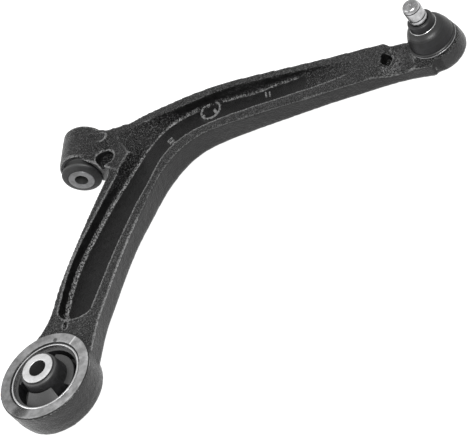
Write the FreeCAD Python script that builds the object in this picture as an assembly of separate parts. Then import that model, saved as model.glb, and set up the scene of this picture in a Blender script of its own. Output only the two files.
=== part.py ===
import FreeCAD, Part
import os
import math

V = FreeCAD.Vector
os.makedirs("parts", exist_ok=True)

# ---- frame: origin at the middle of the front bush, +Y along its bore, +Z up ----

# front bush, bore along Y
FRONT_BORE_R = 19.3
FRONT_BOSS_WALL = 2.6
FRONT_BOSS_R = FRONT_BORE_R + FRONT_BOSS_WALL
FRONT_BOSS_Y0 = -15.7
FRONT_BOSS_Y1 = 22.4
FRONT_SHELL_WALL = 1.5
FRONT_SHELL_INSET = 1.0
FRONT_SLEEVE_R = 12.2
FRONT_SLEEVE_BORE_R = 6.1
FRONT_SLEEVE_HALF = 27.0
FRONT_RUBBER_NECK_R = FRONT_SLEEVE_R + 2.8
FRONT_FLANGE_R = FRONT_BORE_R - 0.4
FRONT_FLANGE_Y = FRONT_SLEEVE_HALF - 2.8
FRONT_FLANGE_T = 3.0
FRONT_CONE_Y = FRONT_SLEEVE_HALF - 0.5

# rear bush, bore along Z
REAR_Y = -257.7
REAR_BORE_R = 34.6
REAR_BOSS_WALL = 10.8
REAR_BOSS_R = REAR_BORE_R + REAR_BOSS_WALL
REAR_BOSS_TOP = 12.6
REAR_BOSS_BOTTOM = -18.6
REAR_SHELL_WALL = 2.2
REAR_SHELL_TOP = REAR_BOSS_TOP - 0.9
REAR_SHELL_BOTTOM = REAR_BOSS_BOTTOM + 1.0
REAR_SLEEVE_R = 15.1
REAR_SLEEVE_BORE_R = 8.1
REAR_SLEEVE_HALF = 24.6
REAR_RUBBER_TOP = REAR_BOSS_TOP - 5.6
REAR_RUBBER_BOTTOM = REAR_BOSS_BOTTOM + 4.6
REAR_HUB_R = REAR_SLEEVE_R + 4.9
REAR_HUB_TOP_R = REAR_SLEEVE_R + 2.1
REAR_HUB_HALF = REAR_SLEEVE_HALF - 3.1
REAR_RUBBER_SKIN = 2.8
REAR_VOID_R = REAR_BORE_R - REAR_SHELL_WALL - REAR_RUBBER_SKIN
REAR_BUFFER_R = REAR_VOID_R - 2.6
REAR_WEB_TOP = REAR_RUBBER_BOTTOM + 8.0

# ball joint, stud along Z
BALL_X = 364.8
BALL_Y = 6.5
BALL_Z = 4.0
BALL_R = 12.0
STUD_R = 8.5
STUD_NECK_R = STUD_R - 1.3
STUD_NECK_TOP = 19.0
STUD_LAND_R = STUD_R - 0.3
STUD_LAND_Z = 21.5
STUD_TIP_Z = 60.2
STUD_GRIP = 19.4
STUD_SEAT_Z = STUD_TIP_Z - STUD_GRIP
STUD_TIP_R = STUD_R - 2.2
STUD_CENTRE_R = 2.0
STUD_CENTRE_DEPTH = 2.5
GROOVE_DEPTH = 0.5
GROOVE_W = 0.9
GROOVE_LOW = STUD_SEAT_Z + 4.4
GROOVE_TOP = STUD_TIP_Z - 4.7
SEAT_WALL = 3.0
SEAT_R = BALL_R + SEAT_WALL
SEAT_COVER = 0.44
SEAT_TOP = BALL_Z + BALL_R * SEAT_COVER
SEAT_FLOOR = 1.6
SEAT_BOTTOM = BALL_Z - BALL_R - SEAT_FLOOR
COLLAR_R = SEAT_R + 4.8
COLLAR_TOP = SEAT_TOP + 5.3
CAP_T = 1.2
CAP_LIP = 0.6
HOUSING_WALL = 5.2
HOUSING_R = COLLAR_R + HOUSING_WALL
HOUSING_TOP = COLLAR_TOP - 3.2
HOUSING_BOTTOM = SEAT_BOTTOM - CAP_T - CAP_LIP
HOUSING_LOW = HOUSING_BOTTOM + 8.4
HOUSING_FOOT_R = SEAT_R + 1.9
MOUTH_LOW_R = BALL_R + 0.2
MOUTH_TOP_R = MOUTH_LOW_R + 2.4

# dust boot
WIRE_R = 0.6
BOOT_BELLY_R = COLLAR_R + 1.5
BASE_RING_R = BOOT_BELLY_R + 0.5
BASE_RING_Z = HOUSING_TOP + 1.7
NECK_RING_R = STUD_LAND_R + 4.1
LIP_TOP = STUD_SEAT_Z + 0.2
NECK_RING_Z = LIP_TOP - 7.6

# arm
ARM_TOP = 9.5
ARM_LOW = -14.5
LEG_LOW = -10.3
NECK_LOW = -8.4
FLOOR_Z = -2.0
RAMP_X0 = 178.0
RAMP_SLOPE = 0.108
NECK_X0 = BALL_X - 47.8
NECK_X1 = BALL_X - 23.8
NECK_TOP = 4.6
UNDER_X0 = 140.0
UNDER_X1 = BALL_X - 110.0
UNDER_Y0 = -45.0
UNDER_Y1 = -120.0
EDGE_R = 4.5
PAD_X = FRONT_BOSS_R + 3.0
PAD_Y = 5.0
PAD_TOP = 16.0
PAD_RX = 7.5
PAD_RY = 6.0
POCKET_X = FRONT_BOSS_R + 9.0
POCKET_Y = -19.0
POCKET_R = 8.5
POCKET_FLOOR = 4.0
MARK_X = 132.5
MARK_Y = 14.0
MARK_R = 10.4
PIT_FLOOR = -3.0

# the outlines below are drawn for this reach and this spacing of the bushes, and stretch from the bend
DRAWN_X = 364.8
DRAWN_Y = -257.7
BEND_X = 60.0
BEND_Y = -45.0

# fits
SLIDE = 0.05


def cyl(radius, z0, z1, x=0.0, y=0.0):
    return Part.makeCylinder(radius, z1 - z0, V(x, y, z0))


def cyl_y(radius, y0, y1):
    return Part.makeCylinder(radius, y1 - y0, V(0, y0, 0), V(0, 1, 0))


def box(x0, x1, y0, y1, z0, z1):
    return Part.makeBox(x1 - x0, y1 - y0, z1 - z0, V(x0, y0, z0))


def placed(point):
    """Outline point moved with the reach to the ball and the spacing of the bushes."""
    x, y = point
    if x > BEND_X:
        x = BEND_X + (x - BEND_X) * (BALL_X - BEND_X) / (DRAWN_X - BEND_X)
    if y < BEND_Y:
        y = BEND_Y + (y - BEND_Y) * (REAR_Y - BEND_Y) / (DRAWN_Y - BEND_Y)
    return x, y


def spline(points, z=0.0):
    curve = Part.BSplineCurve()
    curve.interpolate([V(*placed(p), z) for p in points])
    return curve.toShape()


def line(a, b, z=0.0):
    return Part.makeLine(V(*placed(a), z), V(*placed(b), z))


def turned(profile, x=0.0, y=0.0):
    """Solid turned about the vertical axis through (x, y) from (radius, z) points."""
    pts = [V(r, 0, z) for r, z in profile]
    face = Part.Face(Part.makePolygon(pts + [pts[0]]))
    solid = face.revolve(V(0, 0, 0), V(0, 0, 1), 360)
    solid.translate(V(x, y, 0))
    return solid


def turned_y(profile):
    """Solid turned about the Y axis from (radius, y) points."""
    pts = [V(r, y, 0) for r, y in profile]
    face = Part.Face(Part.makePolygon(pts + [pts[0]]))
    return face.revolve(V(0, 0, 0), V(0, 1, 0), 360)


def sector(r0, r1, a0, a1, z0, z1, cy):
    """Ring sector between two angles in degrees."""
    def at(r, a):
        return V(r * math.cos(math.radians(a)), cy + r * math.sin(math.radians(a)), z0)
    am = 0.5 * (a0 + a1)
    edges = [
        Part.Arc(at(r1, a0), at(r1, am), at(r1, a1)).toShape(),
        Part.makeLine(at(r1, a1), at(r0, a1)),
        Part.Arc(at(r0, a1), at(r0, am), at(r0, a0)).toShape(),
        Part.makeLine(at(r0, a0), at(r1, a0)),
    ]
    return Part.Face(Part.Wire(edges)).extrude(V(0, 0, z1 - z0))


# ---- arm casting ----

FAR_LOW = [(-27.5, -223.5), (-17, -212.5), (-7, -195), (-2.4, -170), (4, -139), (16, -97), (26, -65), (34, -42)]
CORNER = [(34, -42), (38, -20), (42, 0), (48, 16)]
FAR_UP = [(48, 16), (60, 20.8), (83, 26), (121, 31.8), (158, 33), (208, 29.5), (258, 25.8), (306, 23), (342, 20)]
NEAR = [(362, -20), (345, -17.4), (330, -15.6), (302, -15.5), (242, -16.8), (182, -17.8), (151, -19.2),
        (130, -22.8), (110.6, -33.6), (93.8, -54.3), (81.4, -83.4), (70.2, -114.6), (58.4, -156), (51.3, -187),
        (46.8, -208), (44.8, -229), (42.8, -250)]

TOP_FAR = [(2, -186), (4.5, -160), (10, -130), (21, -99), (34, -68), (46, -39), (58, -12), (76, 11), (105, 19.5),
           (150, 25.5), (188, 24), (230, 20.5), (262, 16), (286, 8)]
LOW_FAR = [(4, -185), (6, -160), (12, -130), (24, -99), (38.5, -66), (53, -39), (64.5, -18), (83, 5.5), (107, 17.5),
           (150, 22), (188, 20), (230, 17.5), (262, 13), (284, 6.5)]
TOP_END = [(286, 8), (293, 3.5), (290, 0)]
LOW_END = [(284, 6.5), (288, 4), (286, 2)]
TOP_NEAR = [(290, 0), (262, -3), (242, -4.5), (211, -5.5), (171, -7), (140, -10), (119, -15), (107, -21), (91, -37),
            (81, -60), (72, -80), (64, -101), (52, -137), (40, -180), (36, -194)]
LOW_NEAR = [(286, 2), (262, -0.5), (242, -2), (211, -3), (171, -4.5), (140, -7), (117, -12.5), (104, -19), (88, -37),
            (78, -60), (69, -80), (61, -101), (49, -137), (37.5, -179), (34, -190)]
TOP_TAIL = [(36, -194), (20, -199), (6, -194), (2, -186)]
LOW_TAIL = [(34, -190), (20, -194), (8, -191), (4, -185)]

# rim point and foot point of the slope at the bend, from the leg's end to the reach's end
CORNER_SLOPE = [((54.2, -17.2), (64.2, -17.8)), ((51.0, -11.0), (66.0, -14.6)), ((46.0, -3.0), (70.4, -10.0)),
                ((46.0, 8.0), (76.0, -3.5)), ((57.2, 12.6), (82.6, 3.6)), ((74.1, 14.8), (91.5, 11.0)),
                ((105.4, 20.0), (109.6, 18.6))]


def arm_outline():
    edges = [spline(FAR_LOW), spline(CORNER), spline(FAR_UP), line(FAR_UP[-1], NEAR[0]), spline(NEAR),
             line(NEAR[-1], FAR_LOW[0])]
    face = Part.Face(Part.Wire(edges))
    body = face.extrude(V(0, 0, ARM_TOP - ARM_LOW))
    body.translate(V(0, 0, ARM_LOW))
    return body


def near_low_edges(body):
    """Lower edges of the wall on the inside of the bend."""
    faces = [f for f in body.Faces if abs(f.normalAt(*mid(f)).z) < 0.1]
    wall = max(faces, key=lambda f: near_length(f))
    return [e for e in wall.Edges if e.BoundBox.ZMax < ARM_TOP - 8 and e.Length > 20]


def mid(face):
    u0, u1, v0, v1 = face.ParameterRange
    return 0.5 * (u0 + u1), 0.5 * (v0 + v1)


def near_length(face):
    centre = face.CenterOfMass
    return face.Area if centre.x > 60 and centre.y < 0 else 0.0


def underside_cut():
    """Wedges that lift the underside from the corner toward both ends."""
    x_pts = [V(UNDER_X0, -200, ARM_LOW), V(UNDER_X1, -200, NECK_LOW), V(BALL_X + 40, -200, NECK_LOW),
             V(BALL_X + 40, -200, ARM_LOW - 10), V(UNDER_X0, -200, ARM_LOW - 10)]
    upper = Part.Face(Part.makePolygon(x_pts + [x_pts[0]])).extrude(V(0, 300, 0))
    y_pts = [V(-60, UNDER_Y0, ARM_LOW), V(-60, UNDER_Y1, LEG_LOW), V(-60, REAR_Y - 45, LEG_LOW),
             V(-60, REAR_Y - 45, ARM_LOW - 10), V(-60, UNDER_Y0, ARM_LOW - 10)]
    lower = Part.Face(Part.makePolygon(y_pts + [y_pts[0]])).extrude(V(190, 0, 0))
    return upper, lower


def channel():
    """Trough between the two rims: drafted walls, flat floor, ramp up toward the ball joint."""
    rise = 1.0
    draft = rise / (ARM_TOP - FLOOR_Z)

    def grow(top, low):
        return [(t[0] + (t[0] - b[0]) * draft, t[1] + (t[1] - b[1]) * draft) for t, b in zip(top, low)]

    def ring(paths, z):
        return Part.Wire([spline(p, z) for p in paths])

    low = ring([LOW_FAR, LOW_END, LOW_NEAR, LOW_TAIL], FLOOR_Z)
    top = ring([grow(TOP_FAR, LOW_FAR), grow(TOP_END, LOW_END), grow(TOP_NEAR, LOW_NEAR),
                grow(TOP_TAIL, [LOW_TAIL[0], LOW_TAIL[1], LOW_TAIL[2], LOW_TAIL[3]])], ARM_TOP + rise)
    tool = Part.makeLoft([low, top], True, True)
    run = 130.0
    pts = [V(RAMP_X0, -60, FLOOR_Z), V(RAMP_X0 + run, -60, FLOOR_Z + run * RAMP_SLOPE),
           V(RAMP_X0 + run, -60, FLOOR_Z - 5), V(RAMP_X0, -60, FLOOR_Z - 5)]
    ramp = Part.Face(Part.makePolygon(pts + [pts[0]])).extrude(V(0, 120, 0))
    return tool.cut(ramp)


def gusset():
    """Web between the front boss and the arm, falling from the boss top to the rim."""
    def frame(x, y0, y1, z0, z1):
        pts = [V(x, y0, z0), V(x, y1, z0), V(x, y1, z1), V(x, y0, z1)]
        return Part.makePolygon(pts + [pts[0]])
    inner = frame(2, FRONT_BOSS_Y0 + 0.5, FRONT_BOSS_Y1 - 2.5, 5.5 - FRONT_BOSS_R, FRONT_BOSS_R - 2.0)
    middle = frame(30, -28, 15.0, -14, 12.5)
    outer = frame(62, -50, 19.5, -12, ARM_TOP - 0.6)
    return Part.makeLoft([inner, middle, outer], True, True)


def oval_pad():
    outline = Part.Ellipse(V(PAD_X, PAD_Y, 5), PAD_RX, PAD_RY).toShape()
    return Part.Face(Part.Wire([outline])).extrude(V(0, 0, PAD_TOP - 5))


def neck_cut():
    """Step where the rims end, steep on the far side and drawn out on the near side, and the land at the housing."""
    over = ARM_TOP + 1
    land = NECK_TOP + 2.6

    def section(y, run):
        return Part.makePolygon([V(NECK_X0 - run, y, over), V(NECK_X0 + 0.2 * run, y, NECK_TOP),
                                 V(NECK_X1 - 5, y, NECK_TOP), V(NECK_X1 + 4, y, land), V(BALL_X + 5, y, land),
                                 V(BALL_X + 5, y, over), V(NECK_X0 - run, y, over)])

    return Part.makeLoft([section(30, 4.0), section(4, 5.0), section(-26, 22.0)], True, True)


def corner_slope():
    """Cutter for the broad slope at the bend, from the far rim down to the foot of the trough's wall."""
    over = 1.5
    rise = over / (ARM_TOP - FLOOR_Z)

    def section(rim, foot):
        (rx, ry), (fx, fy) = placed(rim), placed(foot)
        pts = [V(fx, fy, FLOOR_Z), V(fx, fy, ARM_TOP + over),
               V(rx + (rx - fx) * rise, ry + (ry - fy) * rise, ARM_TOP + over)]
        return Part.makePolygon(pts + [pts[0]])

    sections = [section(rim, foot) for rim, foot in CORNER_SLOPE]
    tool = Part.makeLoft(sections[:2], True, True)
    for first, second in zip(sections[1:], sections[2:]):
        tool = tool.fuse(Part.makeLoft([first, second], True, True))
    return tool


def ball_housing():
    low = HOUSING_BOTTOM
    profile = [(0, low), (HOUSING_FOOT_R, low), (HOUSING_R - 4.1, low + 3.4), (HOUSING_R - 0.8, low + 6.4),
               (HOUSING_R, HOUSING_LOW), (HOUSING_R, HOUSING_TOP - 10.4), (HOUSING_R - 0.5, HOUSING_TOP - 6.4),
               (HOUSING_R - 1.3, HOUSING_TOP - 2.4), (HOUSING_R - 2.3, HOUSING_TOP),
               (COLLAR_R, HOUSING_TOP), (COLLAR_R, COLLAR_TOP), (0, COLLAR_TOP)]
    return turned(profile, BALL_X, BALL_Y)


def ball_cavity():
    profile = [(0, HOUSING_BOTTOM - 1), (SEAT_R - CAP_LIP, HOUSING_BOTTOM - 1),
               (SEAT_R - CAP_LIP, SEAT_BOTTOM - CAP_T), (SEAT_R, SEAT_BOTTOM - CAP_T), (SEAT_R, SEAT_TOP),
               (MOUTH_LOW_R, SEAT_TOP), (MOUTH_TOP_R, COLLAR_TOP + 0.1), (0, COLLAR_TOP + 0.1)]
    return turned(profile, BALL_X, BALL_Y)


def rear_boss():
    low = REAR_BOSS_BOTTOM
    profile = [(0, low), (REAR_BOSS_R - 4.8, low), (REAR_BOSS_R - 3.2, low + 0.9), (REAR_BOSS_R - 2.4, low + 2.6),
               (REAR_BOSS_R - 1.0, low + 10), (REAR_BOSS_R, REAR_BOSS_TOP - 5), (REAR_BOSS_R, REAR_BOSS_TOP - 0.8),
               (REAR_BOSS_R - 0.8, REAR_BOSS_TOP), (0, REAR_BOSS_TOP)]
    return turned(profile, 0, REAR_Y)


def front_boss():
    c = 2.4
    profile = [(0, FRONT_BOSS_Y0), (FRONT_BOSS_R - 0.8, FRONT_BOSS_Y0), (FRONT_BOSS_R, FRONT_BOSS_Y0 + 0.8),
               (FRONT_BOSS_R, FRONT_BOSS_Y1 - c), (FRONT_BOSS_R - c, FRONT_BOSS_Y1), (0, FRONT_BOSS_Y1)]
    return turned_y(profile)


def arm_casting():
    arm = arm_outline()
    upper, lower = underside_cut()
    arm = arm.cut(upper).cut(lower)
    arm = arm.makeFillet(EDGE_R, near_low_edges(arm))
    arm = arm.fuse(gusset())
    arm = arm.cut(channel())
    arm = arm.cut(corner_slope())
    arm = arm.cut(neck_cut())
    x, y = NECK_X0, BALL_Y
    corners = [V(x - 5.6, y - 6.5, PIT_FLOOR), V(x + 1.0, y - 8.6, PIT_FLOOR), V(x + 4.4, y + 0.6, PIT_FLOOR),
               V(x - 1.6, y + 5.6, PIT_FLOOR), V(x - 5.0, y + 4.6, PIT_FLOOR)]
    pit = Part.Face(Part.makePolygon(corners + [corners[0]])).extrude(V(0, 0, ARM_TOP + 3 - PIT_FLOOR))
    pit = pit.makeFillet(1.3, [e for e in pit.Edges if abs(e.tangentAt(0).z) > 0.9])
    arm = arm.cut(pit)
    arm = arm.fuse([ball_housing(), rear_boss(), front_boss()])
    arm = arm.cut(cyl(POCKET_R, POCKET_FLOOR, FRONT_BOSS_R + 4, POCKET_X, POCKET_Y))
    slot_y = REAR_Y + REAR_BOSS_R + 3.6
    slot = box(10.2, 13.8, slot_y, slot_y + 9.0, ARM_TOP - 4.0, ARM_TOP + 2.5)
    slot = slot.makeFillet(1.7, [e for e in slot.Edges if abs(e.tangentAt(0).z) > 0.9])
    arm = arm.cut(slot)
    ring = cyl(MARK_R, FLOOR_Z, FLOOR_Z + 1.2, MARK_X, MARK_Y)
    ring = ring.cut(cyl(MARK_R - 1.6, FLOOR_Z - 1, FLOOR_Z + 2, MARK_X, MARK_Y))
    arm = arm.fuse([ring, oval_pad()])
    arm = arm.cut(cyl(REAR_BORE_R, REAR_BOSS_BOTTOM - 5, REAR_BOSS_TOP + 5, 0, REAR_Y))
    arm = arm.cut(cyl_y(FRONT_BORE_R, -FRONT_SLEEVE_HALF - 3, FRONT_SLEEVE_HALF + 3))
    arm = arm.cut(ball_cavity())
    return arm.removeSplitter()


# ---- front bush ----

def front_bush_shell():
    y0 = FRONT_BOSS_Y0 + FRONT_SHELL_INSET
    y1 = FRONT_BOSS_Y1 - FRONT_SHELL_INSET
    return cyl_y(FRONT_BORE_R, y0, y1).cut(cyl_y(FRONT_BORE_R - FRONT_SHELL_WALL, y0 - 1, y1 + 1))


def front_bush_rubber():
    inner = FRONT_SLEEVE_R + SLIDE
    shell = FRONT_BORE_R - FRONT_SHELL_WALL
    y0 = FRONT_BOSS_Y0 + 2.6
    y1 = FRONT_BOSS_Y1 - 2.6
    f = FRONT_FLANGE_Y
    t = FRONT_FLANGE_T
    profile = [(inner, -FRONT_CONE_Y), (FRONT_SLEEVE_R + 0.9, -FRONT_CONE_Y), (FRONT_FLANGE_R - 1.2, -f),
               (FRONT_FLANGE_R, -f + 1.0), (FRONT_FLANGE_R, -f + t - 0.8), (FRONT_FLANGE_R - 1.0, -f + t),
               (FRONT_RUBBER_NECK_R, -f + t + 0.6), (FRONT_RUBBER_NECK_R, y0 - 0.5), (shell, y0),
               (shell, y1), (FRONT_RUBBER_NECK_R, y1 + 0.5), (FRONT_SLEEVE_R + 1.2, FRONT_CONE_Y - 1.5),
               (inner, FRONT_CONE_Y - 1.0)]
    return turned_y(profile)


def front_bush_inner_sleeve():
    h = FRONT_SLEEVE_HALF
    c = 0.5
    profile = [(FRONT_SLEEVE_BORE_R, -h + c), (FRONT_SLEEVE_BORE_R + c, -h), (FRONT_SLEEVE_R - c, -h),
               (FRONT_SLEEVE_R, -h + c), (FRONT_SLEEVE_R, h - c), (FRONT_SLEEVE_R - c, h),
               (FRONT_SLEEVE_BORE_R + c, h), (FRONT_SLEEVE_BORE_R, h - c)]
    return turned_y(profile)


# ---- rear bush ----

def rear_bush_shell():
    r = REAR_BORE_R
    w = REAR_SHELL_WALL
    profile = [(r - w, REAR_SHELL_BOTTOM), (r, REAR_SHELL_BOTTOM), (r, REAR_SHELL_TOP - 0.8),
               (r - 0.8, REAR_SHELL_TOP), (r - w, REAR_SHELL_TOP)]
    return turned(profile, 0, REAR_Y)


def rear_bush_rubber():
    inner = REAR_SLEEVE_R + SLIDE
    shell = REAR_BORE_R - REAR_SHELL_WALL
    h = REAR_HUB_HALF
    top = REAR_RUBBER_TOP
    low = REAR_RUBBER_BOTTOM
    profile = [(inner, -h), (REAR_HUB_TOP_R, -h), (REAR_HUB_R, low - 1), (REAR_HUB_R + 1.5, low), (shell, low),
               (shell, top), (shell - 2.4, top + 0.8), (REAR_HUB_R + 1.5, top - 1.5), (REAR_HUB_R, top + 1),
               (REAR_HUB_TOP_R, h), (inner, h)]
    body = turned(profile, 0, REAR_Y)
    deep = 40.0
    hub = REAR_HUB_R + 0.6
    voids = [sector(REAR_BUFFER_R, REAR_VOID_R, -52, 108, REAR_WEB_TOP, deep, REAR_Y),
             sector(hub, REAR_VOID_R, -53, -28, REAR_WEB_TOP, deep, REAR_Y),
             sector(hub, REAR_VOID_R, 84, 109, REAR_WEB_TOP, deep, REAR_Y),
             sector(hub, REAR_VOID_R, 176, 225, REAR_WEB_TOP, deep, REAR_Y),
             sector(hub, hub + 3.4, 224, 308, REAR_WEB_TOP, deep, REAR_Y)]
    for tool in voids:
        body = body.cut(tool)
    return body


def rear_bush_inner_sleeve():
    h = REAR_SLEEVE_HALF
    c = 0.6
    profile = [(REAR_SLEEVE_BORE_R, -h + c), (REAR_SLEEVE_BORE_R + c, -h), (REAR_SLEEVE_R - c, -h),
               (REAR_SLEEVE_R, -h + c), (REAR_SLEEVE_R, h - c), (REAR_SLEEVE_R - c, h),
               (REAR_SLEEVE_BORE_R + c, h), (REAR_SLEEVE_BORE_R, h - c)]
    return turned(profile, 0, REAR_Y)


# ---- ball joint ----

def ball_stud():
    ball = Part.makeSphere(BALL_R, V(BALL_X, BALL_Y, BALL_Z))
    low = STUD_R - GROOVE_DEPTH
    profile = [(0, BALL_Z + 4), (STUD_NECK_R, BALL_Z + 4), (STUD_NECK_R, STUD_NECK_TOP), (STUD_LAND_R, STUD_LAND_Z),
               (STUD_LAND_R, STUD_SEAT_Z - 0.3), (STUD_R, STUD_SEAT_Z)]
    for z in (GROOVE_LOW, GROOVE_TOP):
        profile += [(STUD_R, z), (low, z + 0.2), (low, z + GROOVE_W - 0.2), (STUD_R, z + GROOVE_W)]
    profile += [(STUD_R - 0.9, STUD_TIP_Z - 1.6), (STUD_TIP_R, STUD_TIP_Z), (0, STUD_TIP_Z)]
    shank = turned(profile, BALL_X, BALL_Y)
    centre = Part.makeCone(STUD_CENTRE_R, 0.4, STUD_CENTRE_DEPTH, V(BALL_X, BALL_Y, STUD_TIP_Z), V(0, 0, -1))
    flat = cyl(BALL_R * 0.6, BALL_Z - BALL_R - 1, BALL_Z - BALL_R + 1.2, BALL_X, BALL_Y)
    return ball.fuse(shank).cut(centre).cut(flat)


def ball_seat_upper():
    body = cyl(SEAT_R, BALL_Z, SEAT_TOP, BALL_X, BALL_Y)
    hollow = Part.makeSphere(BALL_R + SLIDE, V(BALL_X, BALL_Y, BALL_Z))
    return body.cut(hollow)


def ball_seat_lower():
    body = cyl(SEAT_R, SEAT_BOTTOM, BALL_Z, BALL_X, BALL_Y)
    hollow = Part.makeSphere(BALL_R + SLIDE, V(BALL_X, BALL_Y, BALL_Z))
    return body.cut(hollow)


def housing_cap():
    return cyl(SEAT_R, SEAT_BOTTOM - CAP_T, SEAT_BOTTOM, BALL_X, BALL_Y)


def dust_boot():
    foot = HOUSING_TOP
    belly = BOOT_BELLY_R
    neck = NECK_RING_R
    land = STUD_LAND_R + SLIDE
    outer = [(COLLAR_R, foot), (belly + 0.9, foot), (belly + 0.6, foot + 0.9), (belly + 0.6, foot + 2.4),
             (belly + 1.1, foot + 3.0), (belly + 0.6, foot + 3.8), (belly - 0.3, foot + 4.5),
             (belly + 0.2, foot + 5.8), (belly - 0.1, foot + 7.6), (belly - 0.7, foot + 9.6),
             (belly - 1.5, LIP_TOP - 17), (belly - 2.3, LIP_TOP - 15), (belly - 3.1, LIP_TOP - 13),
             (belly - 4.4, LIP_TOP - 11), (neck + 2.3, LIP_TOP - 9.2), (neck + 0.1, LIP_TOP - 8.3),
             (neck, LIP_TOP - 6.8), (neck + 0.2, LIP_TOP - 5), (neck, LIP_TOP - 2.5), (neck - 0.7, LIP_TOP - 0.7),
             (neck - 1.4, LIP_TOP), (land, LIP_TOP - 0.6)]
    inner = [(land, LIP_TOP - 6.5), (neck - 1.3, LIP_TOP - 8.6), (neck + 1.6, LIP_TOP - 11.6),
             (belly - 4.7, LIP_TOP - 14.6), (belly - 2.9, foot + 10), (belly - 2.1, foot + 6.8),
             (belly - 2.4, COLLAR_TOP + 0.6), (belly - 1.9, COLLAR_TOP), (COLLAR_R, COLLAR_TOP)]
    body = turned(outer + inner, BALL_X, BALL_Y)
    base = Part.makeTorus(BASE_RING_R, WIRE_R, V(BALL_X, BALL_Y, BASE_RING_Z))
    ring = Part.makeTorus(NECK_RING_R, WIRE_R + SLIDE, V(BALL_X, BALL_Y, NECK_RING_Z))
    return body.cut(base).cut(ring)


def wire_ring(radius, z):
    return Part.makeTorus(radius, WIRE_R, V(BALL_X, BALL_Y, z))


NODES = {
    "arm_casting": arm_casting,
    "front_bush_outer_sleeve": front_bush_shell,
    "front_bush_rubber": front_bush_rubber,
    "front_bush_inner_sleeve": front_bush_inner_sleeve,
    "rear_bush_outer_sleeve": rear_bush_shell,
    "rear_bush_rubber": rear_bush_rubber,
    "rear_bush_inner_sleeve": rear_bush_inner_sleeve,
    "ball_stud": ball_stud,
    "ball_seat_upper": ball_seat_upper,
    "ball_seat_lower": ball_seat_lower,
    "housing_cap": housing_cap,
    "dust_boot": dust_boot,
    "boot_base_ring": lambda: wire_ring(BASE_RING_R, BASE_RING_Z),
    "boot_neck_ring": lambda: wire_ring(NECK_RING_R, NECK_RING_Z),
}

for name, make in NODES.items():
    shape = make()
    shape.exportStep("parts/" + name + ".step")
    print(name, "solids", len(shape.Solids), "valid", shape.isValid(), "volume", round(shape.Volume, 1))
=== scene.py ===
import math

import bpy
import numpy as np
from mathutils import Matrix, Vector


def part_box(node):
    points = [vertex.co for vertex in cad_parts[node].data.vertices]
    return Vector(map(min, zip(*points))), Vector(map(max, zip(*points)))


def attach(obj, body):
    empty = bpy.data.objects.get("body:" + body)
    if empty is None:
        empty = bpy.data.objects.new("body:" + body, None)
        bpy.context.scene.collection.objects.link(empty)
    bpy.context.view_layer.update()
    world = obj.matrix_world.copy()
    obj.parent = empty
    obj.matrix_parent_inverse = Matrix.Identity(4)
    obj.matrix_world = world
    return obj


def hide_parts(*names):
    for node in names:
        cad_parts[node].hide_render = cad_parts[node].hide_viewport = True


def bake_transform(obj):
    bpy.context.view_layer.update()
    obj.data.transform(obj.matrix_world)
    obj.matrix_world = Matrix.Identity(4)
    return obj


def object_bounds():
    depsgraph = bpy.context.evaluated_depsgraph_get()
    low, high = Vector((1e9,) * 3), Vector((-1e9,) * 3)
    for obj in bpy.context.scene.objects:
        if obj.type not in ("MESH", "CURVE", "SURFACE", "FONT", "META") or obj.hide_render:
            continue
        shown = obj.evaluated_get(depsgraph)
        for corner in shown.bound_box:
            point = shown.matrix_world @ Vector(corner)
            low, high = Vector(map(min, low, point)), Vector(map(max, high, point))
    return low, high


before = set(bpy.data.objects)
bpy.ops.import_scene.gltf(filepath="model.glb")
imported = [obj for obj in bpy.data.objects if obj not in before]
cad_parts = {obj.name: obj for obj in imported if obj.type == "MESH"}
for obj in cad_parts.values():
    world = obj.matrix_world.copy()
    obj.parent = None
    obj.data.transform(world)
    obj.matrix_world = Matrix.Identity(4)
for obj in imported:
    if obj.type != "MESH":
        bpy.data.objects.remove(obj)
cad_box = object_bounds()

MM = 0.001
WELD = 0.00001
WEIGHT_STEPS = 20
scene = bpy.context.scene

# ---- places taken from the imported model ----

rear_low, rear_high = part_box("rear_bush_inner_sleeve")
REAR = (rear_low + rear_high) / 2
REAR_FOOT = Vector((REAR.x, REAR.y, 0))
ring_low, ring_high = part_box("boot_base_ring")
BALL = Vector(((ring_low.x + ring_high.x) / 2, (ring_low.y + ring_high.y) / 2, 0))
FRONT = Vector((0, 0, 0))
RISE = Vector((0, 0, MM))


# ---- small tools ----

def deselect():
    if bpy.context.object and bpy.context.object.mode != "OBJECT":
        bpy.ops.object.mode_set(mode="OBJECT")
    bpy.ops.object.select_all(action="DESELECT")


def only(piece):
    deselect()
    piece.select_set(True)
    bpy.context.view_layer.objects.active = piece


def edit(piece, mode="VERT"):
    only(piece)
    bpy.ops.object.mode_set(mode="EDIT")
    bpy.ops.mesh.select_mode(type=mode)
    bpy.ops.mesh.select_all(action="DESELECT")


def leave():
    bpy.ops.object.mode_set(mode="OBJECT")


def settle(piece):
    """Puts the piece's place into its mesh."""
    only(piece)
    bpy.ops.object.transform_apply(location=True, rotation=True, scale=True)


def modify(piece, kind, **settings):
    only(piece)
    made = piece.modifiers.new(kind.lower(), kind)
    for name, value in settings.items():
        setattr(made, name, value)
    bpy.ops.object.modifier_apply(modifier=made.name)


def smooth_by_angle(piece, degrees=35):
    only(piece)
    bpy.ops.object.shade_smooth_by_angle(angle=math.radians(degrees))


def tidy_normals(piece):
    edit(piece)
    bpy.ops.mesh.select_all(action="SELECT")
    bpy.ops.mesh.remove_doubles(threshold=WELD)
    bpy.ops.mesh.normals_make_consistent(inside=False)
    leave()


def copy_of(node, name):
    """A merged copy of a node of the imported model."""
    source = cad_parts[node]
    piece = bpy.data.objects.new(name, source.data.copy())
    scene.collection.objects.link(piece)
    piece.data.materials.clear()
    edit(piece)
    bpy.ops.mesh.select_all(action="SELECT")
    bpy.ops.mesh.remove_doubles(threshold=WELD)
    leave()
    return piece


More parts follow.
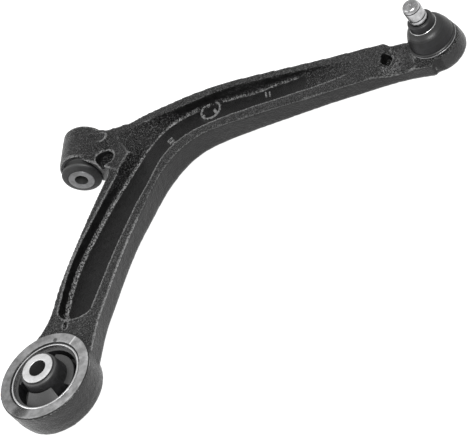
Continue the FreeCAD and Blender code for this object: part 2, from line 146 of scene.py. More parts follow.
def coordinates(piece):
    place = np.empty(len(piece.data.vertices) * 3, np.float32)
    piece.data.vertices.foreach_get("co", place)
    return place.reshape(-1, 3)


def vertex_normals(piece):
    normal = np.empty(len(piece.data.vertices) * 3, np.float32)
    piece.data.vertex_normals.foreach_get("vector", normal)
    return normal.reshape(-1, 3)


def weigh(piece, name, weights):
    """A vertex group with a weight for each vertex, in even steps."""
    group = piece.vertex_groups.new(name=name)
    steps = np.round(np.clip(weights, 0, 1) * WEIGHT_STEPS).astype(int)
    for step in range(1, WEIGHT_STEPS + 1):
        picked = np.nonzero(steps == step)[0]
        if len(picked):
            group.add(picked.tolist(), step / WEIGHT_STEPS, "REPLACE")


def keep(piece, name, values):
    """A value for each vertex, which the finish reads."""
    layer = piece.data.attributes.new(name, "FLOAT", "POINT")
    layer.data.foreach_set("value", values.astype(np.float32))


def kept(piece, name):
    values = np.empty(len(piece.data.vertices), np.float32)
    piece.data.attributes[name].data.foreach_get("value", values)
    return values


def lathe(name, rings, centre, axis="Z", segments=128, closed=True):
    """A turned piece: a circle drawn up ring by ring, each ring a radius and a height in millimetres."""
    turn = {"Z": (0, 0, 0), "Y": (-math.pi / 2, 0, 0)}[axis]
    up = {"Z": Vector((0, 0, 1)), "Y": Vector((0, 1, 0))}[axis]
    radius, height = rings[0]
    deselect()
    bpy.ops.mesh.primitive_circle_add(vertices=segments, radius=radius * MM, rotation=turn,
                                      location=centre + up * height * MM)
    piece = bpy.context.object
    piece.name = name
    settle(piece)
    only(piece)
    bpy.ops.object.mode_set(mode="EDIT")
    bpy.ops.mesh.select_mode(type="VERT")
    bpy.ops.mesh.select_all(action="SELECT")
    for next_radius, next_height in rings[1:]:
        rise = up * (next_height - height) * MM
        bpy.ops.mesh.extrude_region_move(TRANSFORM_OT_translate={"value": rise})
        ratio = next_radius / radius
        sizes = (ratio, ratio, 1) if axis == "Z" else (ratio, 1, ratio)
        bpy.ops.transform.resize(value=sizes, center_override=centre + up * next_height * MM)
        radius, height = next_radius, next_height
    if not closed:
        bpy.ops.mesh.edge_face_add()
        bpy.ops.mesh.select_all(action="DESELECT")
        bpy.ops.mesh.select_non_manifold()
        bpy.ops.mesh.edge_face_add()
    bpy.ops.mesh.select_all(action="SELECT")
    bpy.ops.mesh.remove_doubles(threshold=WELD)
    bpy.ops.mesh.normals_make_consistent(inside=False)
    leave()
    return piece


def join(piece, others):
    """The other pieces welded into this one's mesh."""
    deselect()
    for other in others:
        other.select_set(True)
    piece.select_set(True)
    bpy.context.view_layer.objects.active = piece
    bpy.ops.object.join()


def arc_block(name, inner, outer, low, high, start, end, edge, centre, lift=0.0, steps=28):
    """A block swept round a vertical axis: radii, heights and bevel in millimetres, angles in degrees.

    The lift raises its top toward the axis."""
    deselect()
    turn, middle = math.radians(start), (inner + outer) / 2
    place = Vector((middle * math.cos(turn), middle * math.sin(turn), (low + high) / 2)) * MM
    bpy.ops.mesh.primitive_plane_add(size=1, rotation=(math.pi / 2, 0, turn), location=centre + place)
    piece = bpy.context.object
    piece.name = name
    piece.scale = ((outer - inner) * MM, (high - low) * MM, 1)
    settle(piece)
    if lift:
        # the corner that is nearest the axis and highest has the least of this
        reach = [(v.co - centre).to_2d().length - v.co.z * 10 for v in piece.data.vertices]
        edit(piece)
        leave()
        piece.data.vertices[reach.index(min(reach))].select = True
        only(piece)
        bpy.ops.object.mode_set(mode="EDIT")
        bpy.ops.transform.translate(value=(0, 0, lift * MM))
        leave()
    edit(piece, "FACE")
    bpy.ops.mesh.select_all(action="SELECT")
    bpy.ops.mesh.spin(steps=steps, angle=math.radians(end - start), center=centre, axis=(0, 0, -1))
    leave()
    tidy_normals(piece)
    if edge:
        modify(piece, "BEVEL", width=edge * MM, segments=3, limit_method="ANGLE",
               angle_limit=math.radians(40))
    return piece


def wire_loop(name, radius, thick, centre, gap=0.0, at=0.0):
    """A ring of round wire, with an open gap of that many degrees."""
    deselect()
    bpy.ops.mesh.primitive_torus_add(location=centre, major_radius=radius * MM, minor_radius=thick * MM,
                                     major_segments=120, minor_segments=14)
    piece = bpy.context.object
    piece.name = name
    settle(piece)
    if gap:
        place = coordinates(piece)
        angle = np.degrees(np.arctan2(place[:, 1] - centre.y, place[:, 0] - centre.x))
        away = np.abs((angle - at + 180) % 360 - 180)
        edit(piece)
        leave()
        for index in np.nonzero(away < gap / 2)[0]:
            piece.data.vertices[index].select = True
        only(piece)
        bpy.ops.object.mode_set(mode="EDIT")
        bpy.ops.mesh.delete(type="VERT")
        bpy.ops.mesh.select_all(action="DESELECT")
        bpy.ops.mesh.select_non_manifold()
        bpy.ops.mesh.edge_face_add()
        leave()
        tidy_normals(piece)
    return piece


# ---- finishes ----

class Finish:
    """A material made up node by node."""

    def __init__(self, name):
        self.material = bpy.data.materials.new(name)
        self.material.use_nodes = True
        self.tree = self.material.node_tree
        self.shader = self.tree.nodes["Principled BSDF"]
        self.place = self.node("ShaderNodeTexCoord").outputs["Object"]

    def node(self, kind, **settings):
        made = self.tree.nodes.new(kind)
        for name, value in settings.items():
            setattr(made, name, value)
        return made

    def link(self, output, socket):
        self.tree.links.new(output, socket)

    def put(self, socket, value):
        if isinstance(value, bpy.types.NodeSocket):
            self.link(value, socket)
        else:
            socket.default_value = value

    def grain(self, size_mm, detail=3.0, rough=0.5, stretch=None):
        """Noise with grains of that size."""
        place = self.place
        if stretch:
            mapping = self.node("ShaderNodeMapping")
            mapping.inputs["Scale"].default_value = stretch
            self.link(place, mapping.inputs["Vector"])
            place = mapping.outputs["Vector"]
        noise = self.node("ShaderNodeTexNoise")
        self.link(place, noise.inputs["Vector"])
        noise.inputs["Scale"].default_value = 1 / (size_mm * MM)
        noise.inputs["Detail"].default_value = detail
        noise.inputs["Roughness"].default_value = rough
        return noise.outputs["Fac"]

    def pits(self, size_mm):
        cells = self.node("ShaderNodeTexVoronoi", feature="F1")
        self.link(self.place, cells.inputs["Vector"])
        cells.inputs["Scale"].default_value = 1 / (size_mm * MM)
        return cells.outputs["Distance"]

    def span(self, value, low, high, to_low=0.0, to_high=1.0):
        """Maps a value's span onto another, held at its ends."""
        made = self.node("ShaderNodeMapRange", clamp=True)
        self.link(value, made.inputs["Value"])
        for name, number in (("From Min", low), ("From Max", high), ("To Min", to_low), ("To Max", to_high)):
            made.inputs[name].default_value = number
        return made.outputs["Result"]

    def math(self, kind, first, second):
        made = self.node("ShaderNodeMath", operation=kind)
        self.put(made.inputs[0], first)
        self.put(made.inputs[1], second)
        return made.outputs["Value"]

    def tint(self, share, first, second):
        made = self.node("ShaderNodeMix", data_type="RGBA")
        self.put(made.inputs["Factor"], share)
        self.put(made.inputs["A"], first)
        self.put(made.inputs["B"], second)
        return made.outputs["Result"]

    def parts(self):
        made = self.node("ShaderNodeSeparateXYZ")
        self.link(self.place, made.inputs["Vector"])
        return made.outputs

    def spot(self, x_mm, y_mm, wide_mm, deep_mm):
        """The square of the distance from a spot, counted in the spot's own half widths."""
        x, y, _ = self.parts()
        across = self.math("MULTIPLY", self.math("SUBTRACT", x, x_mm * MM), 1 / (wide_mm * MM))
        along = self.math("MULTIPLY", self.math("SUBTRACT", y, y_mm * MM), 1 / (deep_mm * MM))
        return self.math("ADD", self.math("MULTIPLY", across, across), self.math("MULTIPLY", along, along))

    def bump(self, height, depth_mm, strength=1.0, under=None):
        made = self.node("ShaderNodeBump")
        made.inputs["Distance"].default_value = depth_mm * MM
        self.put(made.inputs["Strength"], strength)
        self.link(height, made.inputs["Height"])
        if under is not None:
            self.link(under, made.inputs["Normal"])
        return made.outputs["Normal"]

    def attribute(self, name):
        return self.node("ShaderNodeAttribute", attribute_name=name).outputs["Fac"]

    def set(self, name, value):
        self.put(self.shader.inputs[name], value)


def grey(level, cast=0.0):
    return (level, level, level + cast, 1.0)


def bare_steel_colour(f, cloud):
    """Machined steel on the rear boss: cloudy, painted brighter to one side as a painted reflection, with a
    stain, a scratch and a spot.
    """
    x, y, _ = f.parts()
    fine = f.grain(0.7, 2.0, 0.6)
    # painted reflection: the machined face is painted lighter toward +x, where it catches the light
    side = f.span(x, -30 * MM, 40 * MM)
    patches = f.span(cloud, 0.35, 0.68)
    dull = f.tint(patches, grey(0.16), grey(0.30, 0.004))
    light = f.tint(patches, grey(0.26), grey(0.48, 0.004))
    colour = f.tint(side, dull, light)
    colour = f.tint(f.span(fine, 0.60, 0.72), colour, grey(0.10))

    stain = f.span(f.spot(-20, -291, 9, 7), 0.3, 1.5, 1.0, 0.0)
    colour = f.tint(f.math("MULTIPLY", stain, f.span(fine, 0.35, 0.5)), colour, grey(0.045))

    across = f.math("ADD", f.math("MULTIPLY", f.math("SUBTRACT", x, 24.9 * MM), 0.80),
                    f.math("MULTIPLY", f.math("ADD", y, 226.4 * MM), -0.60))
    line = f.span(f.math("ABSOLUTE", across, 0.0), 0.4 * MM, 1.3 * MM, 1.0, 0.0)
    scratch = f.math("MULTIPLY", line, f.span(y, -240 * MM, -232 * MM, 0.0, 0.75))
    colour = f.tint(scratch, colour, grey(0.75))

    return f.tint(f.span(f.spot(6.1, -221, 2.4, 2.4), 0.4, 1.2, 0.8, 0.0), colour, grey(0.05))


def black_paint():
    """Satin black paint over a sand-cast skin, with the machined top of the rear boss bare."""
    f = Finish("black_paint")
    grain, edge, foot, wall = (f.attribute(name) for name in ("grain", "edge", "foot", "wall"))
    skin = f.grain(1.3, 2.0, 0.65)
    lumps = f.grain(6.0, 3.0, 0.6)
    cloud = f.grain(9.0, 4.0, 0.6)
    sand = f.span(f.pits(1.6), 0.0, 0.75)
    height = f.math("SUBTRACT", f.math("MULTIPLY", skin, 1.3), f.math("MULTIPLY", sand, 0.8))
    normal = f.bump(height, 2.2, grain)
    normal = f.bump(lumps, 0.7, 0.5, normal)

    _, y, z = f.parts()
    bare = f.math("MULTIPLY", f.span(z, 12.25 * MM, 12.40 * MM), f.span(y, -200 * MM, -195 * MM, 1.0, 0.0))

    paint = f.tint(f.span(lumps, 0.35, 0.7), grey(0.003), grey(0.007))
    # dust and painted glints: pale specks on the sand skin, most on the faces that look up, stand in for
    # grains catching the light
    dust_and_glints = f.math("MULTIPLY", f.span(skin, 0.53, 0.64), f.span(grain, 0.35, 1.0))
    paint = f.tint(f.math("MULTIPLY", dust_and_glints, 0.9), paint, grey(0.085))
    # painted highlight and wear: a pale line along the rims' edges, strongest on the inner rim
    wear_and_edge_glint = f.math("MULTIPLY", f.span(edge, 0.20, 0.50), f.span(skin, 0.36, 0.52))
    paint = f.tint(f.math("MULTIPLY", wear_and_edge_glint, 0.85), paint, grey(0.22))
    # painted highlight: bright specks along the foot of the walls and on the neck round the pit
    foot_highlight = f.math("MULTIPLY", f.span(foot, 0.18, 0.50), f.span(skin, 0.43, 0.57))
    paint = f.tint(f.math("MULTIPLY", foot_highlight, 0.92), paint, grey(0.30))

    f.set("Base Color", f.tint(bare, paint, bare_steel_colour(f, cloud)))
    f.set("Metallic", f.math("MULTIPLY", bare, 0.75))
    rough = f.node("ShaderNodeMix")
    f.put(rough.inputs["Factor"], bare)
    f.put(rough.inputs["A"], f.span(skin, 0.3, 0.7, 0.26, 0.42))
    f.put(rough.inputs["B"], f.span(cloud, 0.3, 0.7, 0.38, 0.55))
    f.set("Roughness", rough.outputs["Result"])
    # painted shade: less specular on the trough's walls and floor and on the outer walls toward the ball
    f.set("Specular IOR Level", f.span(wall, 0.0, 1.0, 0.40, 0.08))
    f.set("Normal", normal)
    return f.material


def rubber(name, low, high, size_mm, roughness, shine=0.5):
    """Black rubber with a bloom, painted paler and shinier on the faces that look up: partly painted light,
    partly a dusting.
    """
    f = Finish(name)
    bloom = f.grain(7.0, 4.0, 0.6)
    fine = f.grain(size_mm, 3.0, 0.6)
    colour = f.tint(f.span(bloom, 0.35, 0.7), grey(low), grey(high, 0.001))
    up = f.attribute("up")
    # painted light: the faces that look up are painted paler and given more specular
    f.set("Base Color", f.tint(f.span(up, 0.3, 1.0), colour, grey(high * 2.4)))
    f.set("Specular IOR Level", f.span(up, 0.0, 0.6, shine * 0.35, shine))
    f.set("Roughness", f.span(fine, 0.3, 0.7, roughness - 0.08, roughness + 0.08))
    f.set("Normal", f.bump(f.math("ADD", fine, f.math("MULTIPLY", bloom, 0.5)), 0.12, 0.7))
    return f.material


def steel(name, low, high, roughness, metallic=1.0, stretch=None, bump=0.05, bore=None, groove_shade_bands=()):
    """Bare or plated steel. A bore is its centre, its axis and its radius in millimetres; inside it the steel
    is painted near black and less metallic, as painted shade.
    """
    f = Finish(name)
    cloud = f.grain(5.0, 4.0, 0.6)
    marks = f.grain(0.6, 3.0, 0.6, stretch)
    colour = f.tint(f.span(cloud, 0.35, 0.68), grey(low), grey(high, 0.006))
    shine = metallic
    if bore:
        centre, axis, radius = bore
        x, y, z = f.parts()
        across = f.math("SUBTRACT", x, centre.x)
        other = f.math("SUBTRACT", y, centre.y) if axis == "Z" else f.math("SUBTRACT", z, centre.z)
        square = f.math("ADD", f.math("MULTIPLY", across, across), f.math("MULTIPLY", other, other))
        # painted shade: the bore's inside is painted near black
        inside = f.span(f.math("SQRT", square, 0.0), (radius + 0.05) * MM, (radius + 0.3) * MM, 1.0, 0.0)
        colour = f.tint(inside, colour, grey(0.02))
        shine = f.span(inside, 0.0, 1.0, metallic, 0.1)
    # painted shade: dark bands painted in the stud's grooves and at its step by the boot's lip
    for low_z, high_z in groove_shade_bands:
        z = f.parts()["Z"]
        band = f.math("MULTIPLY", f.span(z, (low_z - 0.15) * MM, low_z * MM),
                     f.span(z, high_z * MM, (high_z + 0.15) * MM, 1.0, 0.0))
        colour = f.tint(f.math("MULTIPLY", band, f.span(cloud, 0.36, 0.46)), colour, grey(0.02))
    f.set("Base Color", colour)
    f.set("Metallic", shine)
    f.set("Roughness", f.span(marks, 0.3, 0.7, roughness - 0.08, roughness + 0.1))
    f.set("Normal", f.bump(marks, bump, 0.6))
    return f.material


def seat_polymer():
    f = Finish("seat_polymer")
    cloud = f.grain(4.0, 3.0)
    f.set("Base Color", f.tint(f.span(cloud, 0.3, 0.7), (0.72, 0.70, 0.64, 1), (0.80, 0.78, 0.72, 1)))
    f.set("Roughness", f.span(cloud, 0.3, 0.7, 0.42, 0.55))
    f.set("Normal", f.bump(f.grain(0.7), 0.03, 0.5))
    return f.material


PAINT = black_paint()
BUSH_RUBBER = rubber("bush_rubber", 0.006, 0.016, 0.9, 0.50)
BOOT_RUBBER = rubber("boot_rubber", 0.005, 0.010, 0.7, 0.38, 0.32)
RIM_STEEL = steel("bright_rim", 0.60, 0.80, 0.30)
DARK_STEEL = steel("dark_shell", 0.03, 0.06, 0.50, 0.4)
GREY_STEEL = steel("phosphated_sleeve", 0.12, 0.18, 0.50, 0.8, bore=(FRONT, "Y", 6.1))
BRIGHT_STEEL = steel("plated_sleeve", 0.55, 0.70, 0.42, 0.7, bore=(REAR, "Z", 8.1))
STUD_STEEL = steel("plated_stud", 0.26, 0.46, 0.24, bump=0.16,
                   groove_shade_bands=((45.3, 46.1), (55.5, 56.3), (40.6, 41.0)))
WIRE_STEEL = steel("bright_wire", 0.40, 0.56, 0.22)
# a shaded copy of the wire steel for the boot's base ring: painted shade
SHADED_WIRE = steel("shaded_wire", 0.14, 0.30, 0.30)
CAP_STEEL = steel("pressed_cap", 0.30, 0.42, 0.40, 0.8)
SEAT = seat_polymer()


def mark_up(piece):
    """Marks the faces that look up, which the rubber is painted paler and shinier on: partly painted light,
    partly a dusting.
    """
    level = np.array([max(face.normal.z, 0.0) for face in piece.data.polygons], np.float32)
    piece.data.attributes.new("up", "FLOAT", "FACE").data.foreach_set("value", level)


def dress(piece, material, body=None):
    """Gives a piece its finish and its slot, and the body that it rides on if one is given."""
    if material in (BUSH_RUBBER, BOOT_RUBBER):
        mark_up(piece)
    piece.data.materials.clear()
    piece.data.materials.append(material)
    if body:
        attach(piece, body)


def carry(node, material):
    """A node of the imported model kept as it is, with a finish."""
    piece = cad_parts[node]
    piece.data.materials.clear()
    piece.data.materials.append(material)
    only(piece)
    bpy.ops.object.shade_smooth_by_angle(angle=math.radians(35))


# ---- arm casting: sizes and places in millimetres ----

VOXEL = 1.3
REAR_BOSS_R, REAR_MOUTH_R, REAR_BARE_Z = 46.5, 36, 11.2
FRONT_BORE_R, FRONT_HALF_LENGTH = 20.4, 24
SOCKET_R = 21.5
BEND_Y = -5
MARK_RING, MARK_RING_R, MARK_WIRE_R = (132.5, 14.0), 9.6, 1.05
PIT = (316, 4)
# each bar's x, y, width, depth and turn in degrees
MARK_BARS = (
    (137.5, 11.5, 3.0, 4.6, 30), (129.5, 21.0, 2.6, 3.6, -40), (126.0, 9.0, 2.2, 2.6, 10),
    (190.5, 12.6, 1.8, 7.0, 12), (194.6, 11.7, 1.8, 7.0, 12),
    (92.0, -8.0, 6.0, 1.3, 38), (94.5, -11.0, 6.0, 1.3, 38), (97.0, -14.0, 4.4, 1.3, 38))


def cast_marks():
    """Raised marks on the trough's floor: a ring with pads, and short bars."""
    marks = [wire_loop("mark_ring", MARK_RING_R, MARK_WIRE_R, Vector((*MARK_RING, -1.1)) * MM)]
    for x, y, wide, deep, turn in MARK_BARS:
        deselect()
        bpy.ops.mesh.primitive_cube_add(size=1, location=Vector((x, y, -1.3)) * MM,
                                        rotation=(0, 0, math.radians(turn)))
        bar = bpy.context.object
        bar.scale = (wide * MM, deep * MM, 2.6 * MM)
        settle(bar)
        modify(bar, "BEVEL", width=0.5 * MM, segments=3)
        marks.append(bar)
    return marks


def away_from(place, x, y):
    return np.hypot(place[:, 0] - x, place[:, 1] - y)


def leg_line(place):
    """The x of the leg's trough at each place: the leg slants."""
    return 66 + 0.336 * place[:, 1]


def machined_rear(place):
    """The bare top of the rear boss, and its bore."""
    rear = away_from(place, 0, REAR.y / MM)
    return (rear < REAR_BOSS_R) & (place[:, 2] > REAR_BARE_Z) | (rear < REAR_MOUTH_R)


def rough_skin(place):
    """All that is left as cast: not the rear boss's top, the front bore or the ball's socket."""
    bore = (np.hypot(place[:, 0], place[:, 2]) < FRONT_BORE_R) & (np.abs(place[:, 1]) < FRONT_HALF_LENGTH)
    socket = away_from(place, BALL.x / MM, BALL.y / MM) < SOCKET_R
    return ~(machined_rear(place) | bore | socket)


def trough_side(place, normal):
    """Where a wall belongs to the trough's far side: it faces the inside of the bend, above the floor."""
    on_leg, on_reach = place[:, 1] < BEND_Y, place[:, 1] > BEND_Y
    facing = (normal[:, 0] > 0.25) & on_leg | (normal[:, 1] < -0.4) & on_reach
    inside = (place[:, 2] > -4) & (place[:, 2] < 9) & (away_from(place, 0, REAR.y / MM) > 46)
    line = leg_line(place)
    leg = on_leg & (place[:, 0] < line + 4) & (place[:, 0] > line - 16) & (place[:, 1] > -200)
    reach = (place[:, 1] > 4) & (place[:, 0] > 60) & (place[:, 0] < 295)
    return (facing & inside & (leg | reach)).astype(float)


def hollows_of(arm, place):
    """How far out each vertex moves when the skin is smoothed: hollows move out, and edges move in."""
    only(arm)
    bpy.ops.object.duplicate()
    trial = bpy.context.object
    modify(trial, "SMOOTH", factor=0.5, iterations=8, vertex_group="cast")
    moved = ((coordinates(trial) / MM - place) * vertex_normals(arm)).sum(axis=1)
    bpy.data.objects.remove(trial)
    return moved


def glint_and_wear_edges(place, facing, moved, cast):
    """Where a pale line is painted on the rims' edges, as painted highlight and wear: less on the outer one
    and more on the inner one.
    """
    outer = (facing[:, 0] * 0.5 - facing[:, 1] * 0.8 > 0.1) & (place[:, 0] > 75)
    near = np.where(place[:, 1] < BEND_Y, place[:, 0] > leg_line(place) + 8,
                    (place[:, 0] > 75) & (place[:, 1] < 10))
    inner = near & (facing[:, 1] - facing[:, 0] > 0.04) & (place[:, 2] > 5)
    share = np.where(outer, 0.45, np.where(inner, 2.2, 1))
    return np.clip(-moved / 0.45 * share, 0, 1) * (place[:, 2] > 3) * cast


def painted_foot_highlights(place, facing, moved, cast):
    """Where a speckled highlight is painted: at the foot of a wall, and round the pit in the neck."""
    mark = away_from(place, *MARK_RING) < 13.5
    pit = away_from(place, *PIT) < 8.5
    neck = (place[:, 0] > 298) & (place[:, 0] < 346) & (place[:, 2] < 8.5)
    low = (neck | (place[:, 2] < 3.2)) & (place[:, 2] > -4.5)
    foot = np.clip(moved / 0.35, 0, 1) * (low & cast & ~(mark | pit))
    foot = foot * np.where((place[:, 0] > 100) & (place[:, 0] < 298), 0.72, 1)
    away = np.hypot(place[:, 0] - 319, (place[:, 1] + 2) * 0.8)
    return np.maximum(foot, np.clip(0.46 - away / 55, 0, 0.34) * (neck & ~pit & (facing[:, 2] > 0.7)))


def sand_skin(arm, where):
    weigh(arm, "skin", where.astype(float))
    skin = bpy.data.textures.new("cast_skin", "CLOUDS")
    skin.noise_scale = 4.0 * MM
    skin.noise_depth = 2
    modify(arm, "DISPLACE", texture=skin, texture_coords="LOCAL", strength=0.5 * MM, mid_level=0.5,
           vertex_group="skin")
    arm.vertex_groups.clear()


def coat(arm):
    """How sandy the paint is at each vertex, smooth on steel, and how much its reflection is dimmed as
    painted shade: on the trough's walls and floor, and on the outer walls toward the ball.
    """
    place, normal = coordinates(arm) / MM, vertex_normals(arm)
    flat, foot = machined_rear(place), kept(arm, "foot")
    trough_floor = (normal[:, 2] > 0.93) & (place[:, 2] < 4.0) & ~flat
    grain = np.where(trough_floor, 0.30, 0.22 + 0.78 * np.clip((normal[:, 2] - 0.25) * 3, 0, 1))
    keep(arm, "grain", np.where(flat, 0.0, np.maximum(grain, foot)))
    steep = np.clip((0.75 - np.abs(normal[:, 2])) * 4, 0, 1)
    toward_ball = np.clip((place[:, 0] - 50) / 150, 0, 1) * (place[:, 0] < 372)
    outward = (normal[:, 0] * 0.5 - normal[:, 1] * 0.8 > 0.3) * toward_ball * 0.5
    # painted shade: this dims the paint's reflection on the trough's far walls and floor, and on the outer
    # walls toward the ball
    wall = np.maximum(steep * trough_side(place, normal) * (1 - foot), 0.4 * trough_floor)
    keep(arm, "wall", np.maximum(wall, steep * outward))


def arm_casting():
    arm = copy_of("arm_casting", "cast_arm")
    modify(arm, "REMESH", mode="VOXEL", voxel_size=VOXEL * MM, adaptivity=0.0)
    place = coordinates(arm) / MM
    cast = rough_skin(place)
    weigh(arm, "cast", cast.astype(float))
    moved = hollows_of(arm, place)
    arm.vertex_groups.clear()
    crisp = away_from(place, *PIT) < 24
    soft = np.where(crisp, 0.12, np.clip(0.2 + np.clip(moved / 0.12, 0, 1), 0, 1))
    weigh(arm, "hollow", cast * soft)
    modify(arm, "SMOOTH", factor=0.5, iterations=7, vertex_group="hollow")
    facing = vertex_normals(arm)
    keep(arm, "edge", glint_and_wear_edges(place, facing, moved, cast))
    keep(arm, "foot", painted_foot_highlights(place, facing, moved, cast))
    # the far rim's side stays smooth, so that the skin isn't wider than the casting
    sand_skin(arm, cast & (place[:, 1] < 30.5))
    own = len(arm.data.vertices)
    join(arm, cast_marks())
    edge = kept(arm, "edge")
    # the raised marks' edges get the same painted highlight
    edge[own:] = 0.75
    arm.data.attributes["edge"].data.foreach_set("value", edge)
    coat(arm)
    smooth_by_angle(arm, 50)
    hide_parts("arm_casting")
    dress(arm, PAINT, "arm")


# ---- front bush: each profile is radii and places along the axis, in millimetres ----

def front_shell():
    shell = lathe("front_shell", [(17.8, -14.7), (18.3, -14.9), (19.3, -14.9), (19.3, 21.1), (18.9, 21.4),
                                  (18.1, 21.4), (17.8, 21.1), (17.8, -14.7)], FRONT, "Y")
    smooth_by_angle(shell)
    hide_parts("front_bush_outer_sleeve")
    dress(shell, DARK_STEEL, "arm")


def front_rubber():
    rings = [(12.27, -26.5), (13.0, -26.45), (14.6, -25.9), (16.9, -24.9), (18.3, -24.1), (18.85, -23.3),
             (18.85, -22.2), (18.4, -21.5), (17.2, -21.1), (15.6, -20.7), (15.0, -19.8), (15.0, -14.6),
             (15.6, -13.6), (17.0, -13.1), (17.8, -12.9), (17.8, 19.6), (17.0, 20.0), (15.5, 20.4),
             (14.9, 21.4), (14.3, 23.4), (13.5, 24.8), (12.9, 25.3), (12.27, 25.5), (12.27, -26.5)]
    collar = lathe("front_rubber", rings, FRONT, "Y")
    smooth_by_angle(collar, 60)
    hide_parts("front_bush_rubber")
    dress(collar, BUSH_RUBBER, "arm")


def front_tube():
    rings = [(6.1, -26.4), (6.3, -26.8), (6.7, -27.0), (11.6, -27.0), (12.0, -26.85), (12.2, -26.5),
             (12.2, 26.5), (12.0, 26.85), (11.6, 27.0), (6.7, 27.0), (6.3, 26.8), (6.1, 26.4),
             (6.1, -26.4)]
    tube = lathe("front_tube", rings, FRONT, "Y")
    smooth_by_angle(tube, 40)
    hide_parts("front_bush_inner_sleeve")
    dress(tube, GREY_STEEL, "front_sleeve")


# ---- rear bush ----

def rear_shell():
    rings = [(32.4, -17.3), (32.7, -17.6), (34.6, -17.6), (34.6, 10.6), (34.3, 11.2), (33.6, 11.65),
             (32.9, 11.7), (32.5, 11.5), (32.4, 11.1), (32.4, -17.3)]
    shell = lathe("rear_shell", rings, REAR_FOOT, segments=160)
    smooth_by_angle(shell)
    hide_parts("rear_bush_outer_sleeve")
    dress(shell, RIM_STEEL, "arm")


def rear_tube():
    rings = [(8.1, -23.9), (8.35, -24.4), (8.8, -24.6), (14.4, -24.6), (14.9, -24.4), (15.1, -23.9),
             (15.1, 23.9), (14.9, 24.4), (14.4, 24.6), (8.8, 24.6), (8.35, 24.4), (8.1, 23.9),
             (8.1, -23.9)]
    tube = lathe("rear_tube", rings, REAR_FOOT)
    smooth_by_angle(tube, 40)
    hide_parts("rear_bush_inner_sleeve")
    dress(tube, BRIGHT_STEEL, "rear_sleeve")


# each web's name, inner and outer radius, bottom and top, start and end angle, bevel and lift
REAR_WEBS = (
    ("far_web", 19.0, 30.6, -13.0, 5.2, 112, 172, 1.4, 6.0),
    ("near_web", 19.7, 30.8, -13.0, 5.8, 231, 303, 1.6, 9.0),
    ("low_web_right", 25.2, 30.6, -13.4, -6.4, -24, 78, 0.8, 0.0),
    ("low_web_left", 19.4, 30.6, -13.4, -6.4, 172, 232, 0.8, 0.0),
    ("low_web_front", 19.4, 30.6, -13.4, -6.4, 302, 337, 0.8, 0.0),
    ("low_web_back", 19.4, 30.6, -13.4, -6.4, 77, 113, 0.8, 0.0))


def rear_rubber():
    """The skin and its buffer stay with the shell, the hub and its block with the tube, and the webs ride on
    no body.
    """
    skin = lathe("rear_skin", [(29.7, -13.6), (30.1, -14.0), (32.35, -14.0), (32.35, 7.3), (31.8, 7.7),
                               (30.5, 7.6), (29.8, 7.1), (29.7, -13.6)], REAR_FOOT, segments=160)
    rear_left = arc_block("rear_left", 28.2, 31.0, -13.8, 6.6, 100, 176, 1.0, REAR_FOOT)
    join(skin, [rear_left])
    hub = lathe("rear_hub", [(15.17, -21.4), (16.9, -21.5), (17.4, -21.0), (19.6, -15.0), (20.0, -13.6),
                             (20.0, 2.0), (19.6, 7.0), (18.9, 11.5), (18.3, 16.0), (17.8, 20.0),
                             (17.3, 21.4), (16.3, 21.9), (15.7, 22.4), (15.6, 23.7), (15.17, 23.8),
                             (15.17, -21.4)], REAR_FOOT)
    block = arc_block("rear_block", 18.6, 26.6, -13.6, 6.6, -28, 82, 1.6, REAR_FOOT)
    join(hub, [block])
    for name, inner, outer, low, high, start, end, edge, lift in REAR_WEBS:
        web = arc_block(name, inner, outer, low, high, start, end, edge, REAR_FOOT, lift)
        smooth_by_angle(web, 50)
        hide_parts("rear_bush_rubber")
        dress(web, BUSH_RUBBER)
        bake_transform(web)
    for piece, body in ((skin, "arm"), (hub, "rear_sleeve")):
        smooth_by_angle(piece, 50)
        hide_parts("rear_bush_rubber")
        dress(piece, BUSH_RUBBER, body)


# ---- ball joint ----

STUD_BALL_R, STUD_BALL_Z = 11.85, 4.0


def pin():
    """The ball, from its flat foot up, then the neck, the land, the two ring grooves and the tip."""
    rings = [(4.8, -6.7), (5.1, -6.6)]
    for step in range(3, 14):
        angle = math.radians(-90 + 10.5 * step)
        rings.append((STUD_BALL_R * math.cos(angle), STUD_BALL_Z + STUD_BALL_R * math.sin(angle)))
    rings += [(7.6, 13.2), (7.25, 14.0), (7.2, 15.0), (7.2, 19.0), (7.5, 20.0), (8.1, 21.2), (8.2, 21.8),
              (8.2, 40.4), (8.45, 40.65), (8.5, 40.9), (8.5, 45.15), (8.45, 45.25), (8.0, 45.45),
              (8.0, 45.95), (8.42, 46.15), (8.47, 46.3), (8.47, 55.3), (8.42, 55.45), (8.0, 55.65),
              (8.0, 56.15), (8.35, 56.35), (8.4, 56.5), (8.05, 57.6), (7.6, 58.6), (7.0, 59.5),
              (6.5, 60.0), (6.1, 60.2), (2.3, 60.2), (1.95, 60.05), (0.6, 57.9)]
    stud = lathe("stud_pin", rings, BALL, closed=False)
    smooth_by_angle(stud, 32)
    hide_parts("ball_stud")
    dress(stud, STUD_STEEL, "stud")


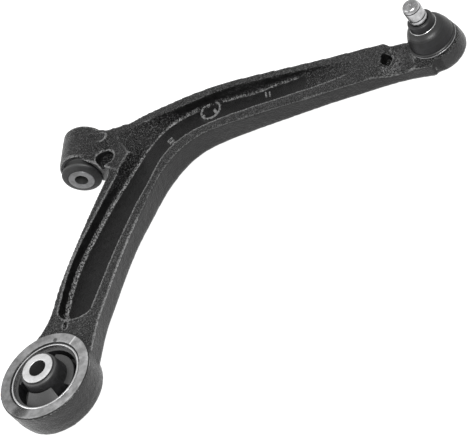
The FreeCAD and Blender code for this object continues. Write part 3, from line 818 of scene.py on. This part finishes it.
def boot():
    """The boot, from the housing at its foot to the stud at its neck, rides on no body."""
    outer = [(19.85, 11.42), (21.9, 11.42), (22.15, 11.7), (22.1, 12.3), (21.8, 12.6), (21.8, 13.5),
             (22.0, 13.9), (22.35, 14.3), (22.3, 14.9), (21.9, 15.4), (21.2, 15.8), (21.15, 16.4),
             (21.4, 17.2), (21.45, 18.0), (21.3, 19.2), (21.0, 20.6), (20.5, 22.2), (19.8, 24.0),
             (19.0, 26.0), (18.1, 28.0), (16.9, 29.9), (15.4, 31.3), (13.7, 32.2), (12.6, 32.6),
             (11.95, 32.9), (11.75, 33.4), (11.95, 33.95), (12.35, 34.3), (12.5, 34.9), (12.45, 36.2),
             (12.35, 38.0), (12.1, 39.4), (11.6, 40.4), (10.8, 40.95), (9.4, 40.9), (8.6, 40.5),
             (8.27, 40.3)]
    inner = [(8.27, 34.6), (9.2, 33.3), (10.9, 32.2), (13.2, 30.0), (15.6, 27.8), (17.3, 25.4),
             (18.3, 22.6), (18.9, 19.6), (18.9, 16.6), (19.2, 14.9), (19.85, 14.65), (19.85, 11.42)]
    cover = lathe("boot", outer + inner, BALL)
    smooth_by_angle(cover, 60)
    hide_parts("dust_boot")
    dress(cover, BOOT_RUBBER)
    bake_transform(cover)


def boot_rings():
    base = wire_loop("base_wire", 21.8, 0.6, BALL + RISE * 13.08, gap=5.0, at=160)
    smooth_by_angle(base, 50)
    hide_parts("boot_base_ring")
    dress(base, SHADED_WIRE, "arm")
    neck = wire_loop("neck_wire", 12.3, 0.6, BALL + RISE * 33.4, gap=7.0, at=150)
    smooth_by_angle(neck, 50)
    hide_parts("boot_neck_ring")
    dress(neck, WIRE_STEEL, "stud_carrier")


arm_casting()
front_shell()
front_rubber()
front_tube()
rear_shell()
rear_tube()
rear_rubber()
pin()
boot()
boot_rings()
for node, material in (("ball_seat_upper", SEAT), ("ball_seat_lower", SEAT), ("housing_cap", CAP_STEEL)):
    carry(node, material)

# ---- camera ----

AZIMUTH, ELEVATION, ROLL = 34.0, 41.3, 39.6
AIM = Vector((170.5, -125.7, 0.0)) * MM
DISTANCE = 2639.6 * MM
SENSOR, FRAME_WIDTH, FOCAL_LENGTH = 36.0, 468.0, 3000.0


def direction(azimuth, elevation):
    turn, rise = math.radians(azimuth), math.radians(elevation)
    return Vector((math.sin(turn) * math.cos(rise), -math.cos(turn) * math.cos(rise), math.sin(rise)))


def place_camera():
    back, roll = direction(AZIMUTH, ELEVATION), math.radians(ROLL)
    level_up = (Vector((0, 0, 1)) - back * back.z).normalized()
    level_right = level_up.cross(back)
    up = level_up * math.cos(roll) + level_right * math.sin(roll)
    right = up.cross(back)
    data = bpy.data.cameras.new("camera")
    data.sensor_width = SENSOR
    data.lens = FOCAL_LENGTH * SENSOR / FRAME_WIDTH
    data.clip_end = 20
    camera = bpy.data.objects.new("camera", data)
    turned = Matrix((right, up, back)).transposed().to_4x4()
    camera.matrix_world = Matrix.Translation(AIM + back * DISTANCE) @ turned
    scene.collection.objects.link(camera)
    scene.camera = camera


place_camera()


# ---- lights and floor ----

def soft_light(name, azimuth, elevation, distance, size, power):
    out = direction(azimuth, elevation)
    data = bpy.data.lights.new(name, "AREA")
    data.shape = "RECTANGLE"
    data.size, data.size_y = size
    data.energy = power
    light = bpy.data.objects.new(name, data)
    light.location = AIM + out * distance
    light.rotation_euler = out.to_track_quat("Z", "Y").to_euler()
    scene.collection.objects.link(light)


soft_light("key_by_camera", 38, 50, 1.9, (0.8, 0.45), 40)
soft_light("left_wall", -75, 35, 1.6, (1.2, 0.8), 6)

world = bpy.data.worlds.new("studio")
scene.world = world
world.use_nodes = True
backdrop = world.node_tree.nodes["Background"]
backdrop.inputs["Color"].default_value = grey(1.0)
backdrop.inputs["Strength"].default_value = 0.75


def floor():
    low = cad_box[0][2]
    deselect()
    bpy.ops.mesh.primitive_plane_add(size=30, location=(0, 0, low - 0.0005))
    plane = bpy.context.object
    plane.name = "floor"
    settle(plane)
    f = Finish("pale_floor")
    f.set("Base Color", f.tint(f.grain(60), grey(0.30), grey(0.34)))
    f.set("Roughness", 0.9)
    f.set("Emission Color", grey(1.0))
    f.set("Emission Strength", 0.97)
    plane.data.materials.append(f.material)


floor()
scene.view_settings.view_transform = "Standard"
